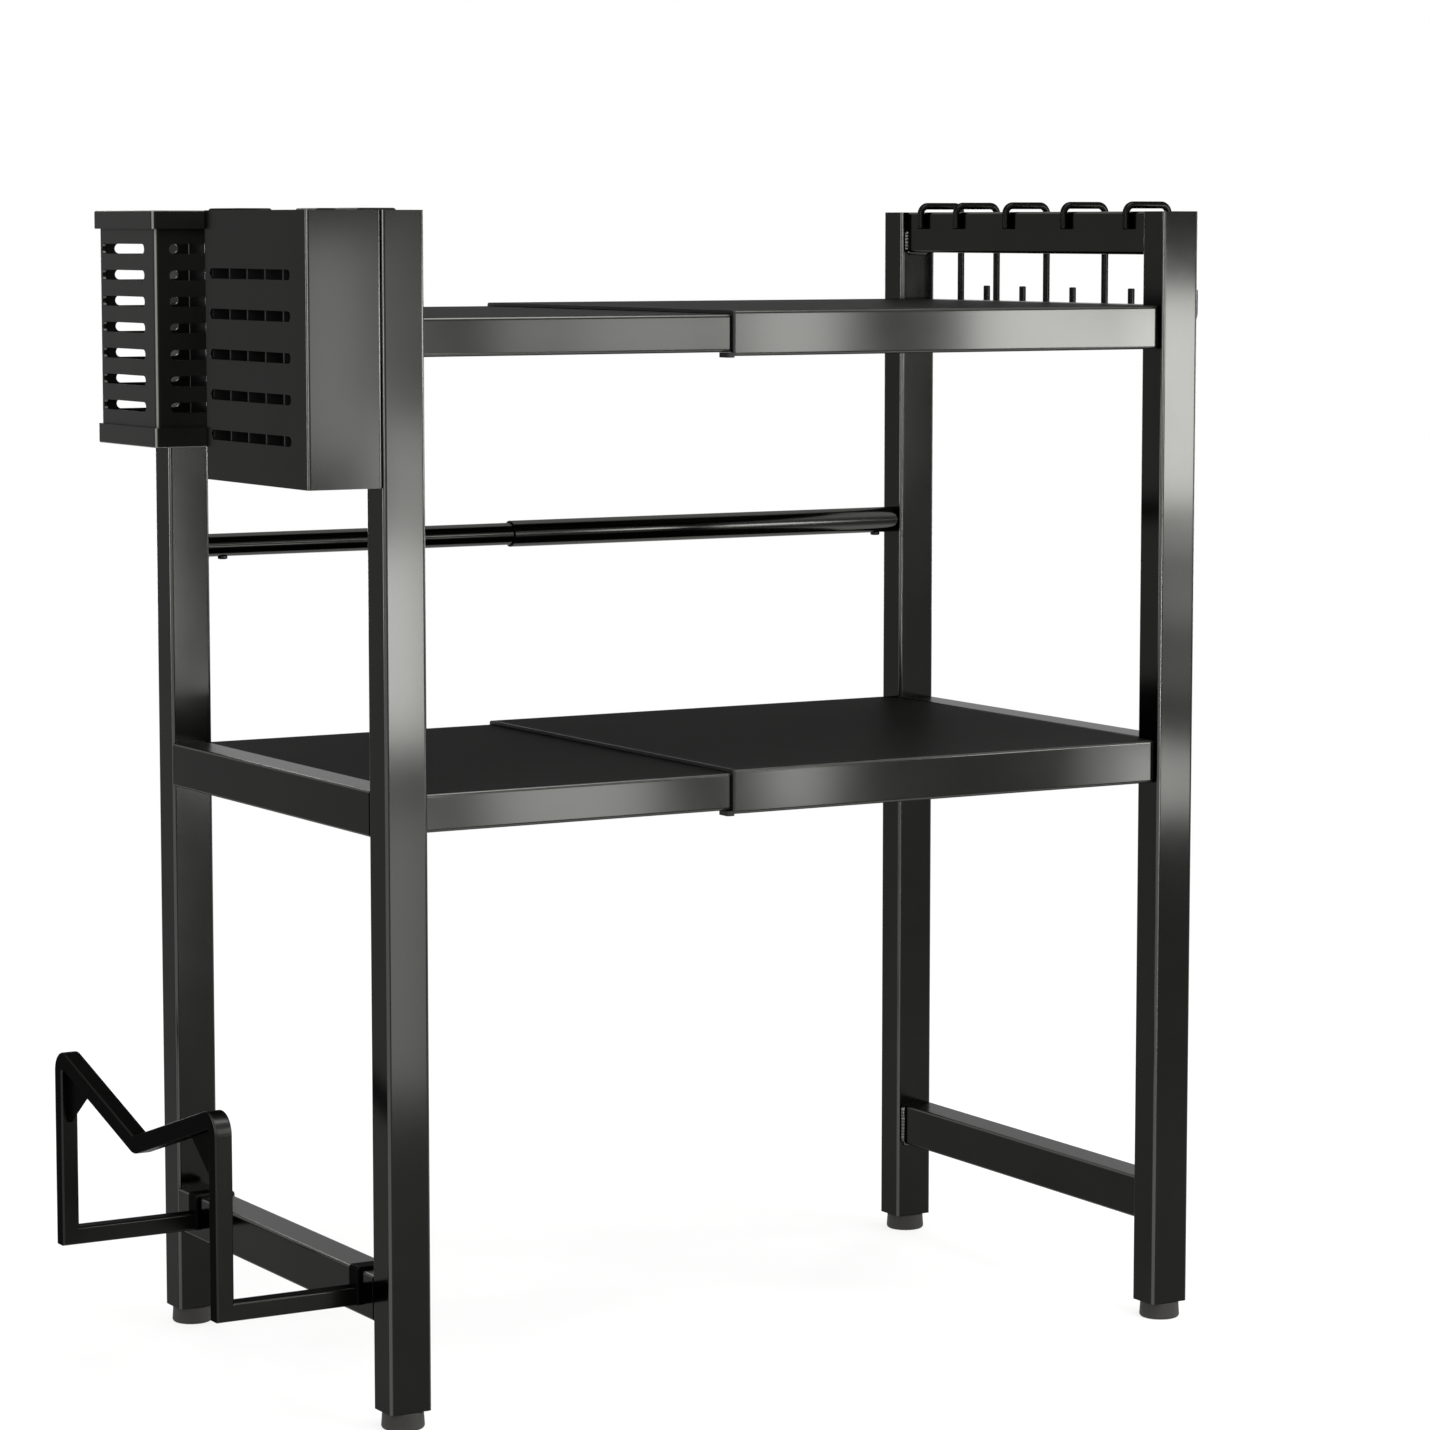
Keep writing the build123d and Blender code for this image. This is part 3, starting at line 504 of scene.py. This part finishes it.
# Strip lights that the front faces mirror to the camera: across and up from the middle of that spot, in
# metres. They stand close, so the front legs carry them and the rear legs stay dark.
frontStrips = {
    "distance": 1.0,
    "strips": {
        "rightLeg": {"across": 0.360, "up": 0.622, "size": (0.11, 0.19), "radiance": 38.0},
        "rightLegUnder": {"across": 0.365, "up": 0.50, "size": (0.08, 0.04), "radiance": 12.0},
        "rightLegMiddle": {"across": 0.365, "up": 0.445, "size": (0.08, 0.05), "radiance": 9.0},
        "rightLegShade": {"across": 0.365, "up": 0.385, "size": (0.08, 0.05), "radiance": 4.5},
        "rightLegLow": {"across": 0.365, "up": 0.285, "size": (0.08, 0.06), "radiance": 19.0},
        "shelfRight": {"across": 0.240, "up": 0.68, "size": (0.12, 0.13), "radiance": 31.0},
        "shelfMiddle": {"across": 0.028, "up": 0.68, "size": (0.09, 0.12), "radiance": 22.0},
        "shelfLeft": {"across": -0.100, "up": 0.68, "size": (0.13, 0.08), "radiance": 13.5},
        "shelfLeftEnd": {"across": -0.205, "up": 0.68, "size": (0.06, 0.08), "radiance": 11.0},
        "lowShelfMiddle": {"across": 0.030, "up": 0.29, "size": (0.06, 0.09), "radiance": 18.0},
        "lowShelfLeft": {"across": -0.165, "up": 0.265, "size": (0.15, 0.10), "radiance": 16.5},
        "lowShelfRight": {"across": 0.315, "up": 0.29, "size": (0.06, 0.09), "radiance": 8.0},
        "leftLeg": {"across": -0.335, "up": 0.405, "size": (0.09, 0.18), "radiance": 38.0},
        "leftLegUpper": {"across": -0.315, "up": 0.55, "size": (0.05, 0.10), "radiance": 22.0},
        "leftLegLow": {"across": -0.335, "up": 0.13, "size": (0.09, 0.26), "radiance": 8.5},
        "leftLegTop": {"across": -0.315, "up": 0.70, "size": (0.04, 0.20), "radiance": 5.2},
        "block": {"across": -0.390, "up": 0.665, "size": (0.08, 0.20), "radiance": 11.0},
    },
}


def addSoftbox(name, spec):
    data = bpy.data.lights.new(name, "AREA")
    data.shape = "RECTANGLE"
    data.size, data.size_y = spec["size"]
    data.energy = spec["radiance"] * math.pi * data.size * data.size_y
    box = bpy.data.objects.new(name, data)
    box.location = spec["at"]
    box.rotation_euler = (Vector(spec["aim"]) - Vector(spec["at"])).to_track_quat("-Z", "Y").to_euler()
    box.visible_camera = False
    bpy.context.scene.collection.objects.link(box)


def addFrontStrips(spec):
    front = Vector((0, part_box("leg_front_left")[0].y, 0))
    sight = front - bpy.context.scene.camera.location
    away = Vector((sight.x, -sight.y, 0)).normalized()  # the line of sight, mirrored in the front faces
    across = Vector((-away.y, away.x, 0))
    for name, strip in spec["strips"].items():
        at = front + away * spec["distance"] + across * strip["across"]
        at.z = strip["up"]
        addSoftbox(name, dict(strip, at=at, aim=front + Vector((0, 0, strip["up"]))))


for name, spec in softboxes.items():
    addSoftbox(name, spec)
addFrontStrips(frontStrips)
print("lights hung:", len(softboxes) + len(frontStrips["strips"]))


def seenDirectly(tree):
    # 1 for what the camera sees itself, in a reflection or through glass, 0 for the light on things
    path = addNode(tree, "LightPath")
    some = addNode(tree, "Math", {"operation": "MAXIMUM"},
                   {0: (path, "Is Camera Ray"), 1: (path, "Is Glossy Ray")})
    return addNode(tree, "Math", {"operation": "MAXIMUM"}, {0: (some, 0), 1: (path, "Is Transmission Ray")})


# A white studio all round
surroundings = {
    "name": "whiteStudio",
    "colour": "#ffffff",
    "ambient": 0.8,  # how much of that white falls on things as light
}


def makeSurroundings(spec):
    world = bpy.data.worlds.new(spec["name"])
    world.use_nodes = True
    tree = world.node_tree
    tree.nodes.clear()
    seen = seenDirectly(tree)
    strength = addNode(tree, "MapRange", {"To Min": spec["ambient"], "To Max": 1.0}, {"Value": (seen, 0)})
    sky = addNode(tree, "Background", {"Color": hexToLinear(spec["colour"])}, {"Strength": (strength, 0)})
    addNode(tree, "OutputWorld", links={"Surface": (sky, 0)})
    bpy.context.scene.world = world


# Matt pale studio paint on the floor, which takes a soft shadow and fades into the white
floorPaint = {
    "name": "paleStudioFloor",
    "colour": "#f2f2f0",
    "white": "#ffffff",
    "halfWidth": 12.0,
    "glow": (0.75, 1.0),  # share of plain white that is seen, under the object and far out
    "reach": (0.7, 2.0),  # where the shadow's ground starts and stops fading into it
}


def makeFloor(spec):
    mesh = bmesh.new()
    bmesh.ops.create_grid(mesh, x_segments=1, y_segments=1, size=spec["halfWidth"])
    data = bpy.data.meshes.new("floor")
    mesh.to_mesh(data)
    mesh.free()
    material, tree, place = startMaterial(spec["name"])
    paint = addNode(tree, "BsdfDiffuse", {"Color": hexToLinear(spec["colour"])})
    glow = addNode(tree, "Emission", {"Color": hexToLinear(spec["white"]), "Strength": 1.0})
    seen = seenDirectly(tree)
    out = addNode(tree, "VectorMath", {"operation": "LENGTH"}, {0: (place, "Object")})
    glowing = addNode(tree, "MapRange", {"interpolation_type": "SMOOTHSTEP", "From Min": spec["reach"][0],
                                         "From Max": spec["reach"][1], "To Min": spec["glow"][0],
                                         "To Max": spec["glow"][1]}, {"Value": (out, "Value")})
    share = addNode(tree, "Math", {"operation": "MULTIPLY"}, {0: (seen, 0), 1: (glowing, 0)})
    shader = addNode(tree, "MixShader", links={0: (share, 0), 1: (paint, 0), 2: (glow, 0)})
    finishMaterial(tree, shader)
    data.materials.append(material)
    floor = bpy.data.objects.new("floor", data)
    bpy.context.scene.collection.objects.link(floor)


makeSurroundings(surroundings)
makeFloor(floorPaint)
print("studio ready")
